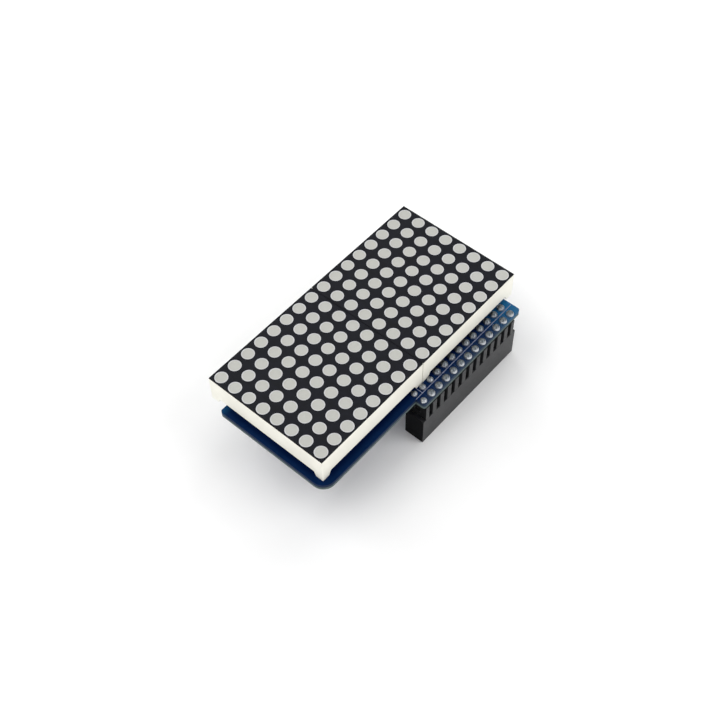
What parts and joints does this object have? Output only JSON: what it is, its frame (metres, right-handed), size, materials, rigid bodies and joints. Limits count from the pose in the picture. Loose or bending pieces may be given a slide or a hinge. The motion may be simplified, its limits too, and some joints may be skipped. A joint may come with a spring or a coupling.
{
  "type": "led dot matrix",
  "caption": "LED dot matrix display board: square modules of round dots in white housings, side by side on a carrier board that plugs on by a double-row pin socket.",
  "frame": {"origin": "centre of the pin socket's lower face, the face that seats on the board the display plugs onto", "axes": "+Z out of the display face, +Y along the row of modules towards the end where the socket sits, +X towards the side of the socket"},
  "size_m": [0.0361, 0.0653, 0.0212],
  "materials": {
    "white_housing": "warm white moulded plastic, satin",
    "diffusing_resin": "milky grey diffusing resin, smooth",
    "led_die": "semiconductor crystal, sealed in resin",
    "led_board": "glass fibre board, pale",
    "tinned_pin": "tinned square pin",
    "blue_board": "glass fibre board with blue solder mask",
    "header_black": "black moulded plastic, matt",
    "spacer_black": "black moulded plastic, matt",
    "gold_contact": "gold-flashed contact",
    "solder": "bright solder",
    "chip_black": "black moulded package, fine matt",
    "tinned_lead": "tinned bent lead",
    "capacitor_ceramic": "brown ceramic",
    "end_cap": "tinned end cap",
    "resistor_film": "black resistor coat"
  },
  "bodies": {
    "root": {"near_module_housing": "white_housing", "near_module_resin_dots": "diffusing_resin", "near_module_led_dies": "led_die", "near_module_led_board": "led_board", "near_module_pins": "tinned_pin", "far_module_housing": "white_housing", "far_module_resin_dots": "diffusing_resin", "far_module_led_dies": "led_die", "far_module_led_board": "led_board", "far_module_pins": "tinned_pin", "carrier_board": "blue_board", "header_body": "header_black", "header_spacer": "spacer_black", "header_contacts": "gold_contact", "header_solder_joints": "solder", "driver_chip_body": "chip_black", "driver_chip_leads": "tinned_lead", "capacitor_bodies": "capacitor_ceramic", "capacitor_end_caps": "end_cap", "resistor_body": "resistor_film", "resistor_end_caps": "end_cap"}
  },
  "joints": []
}
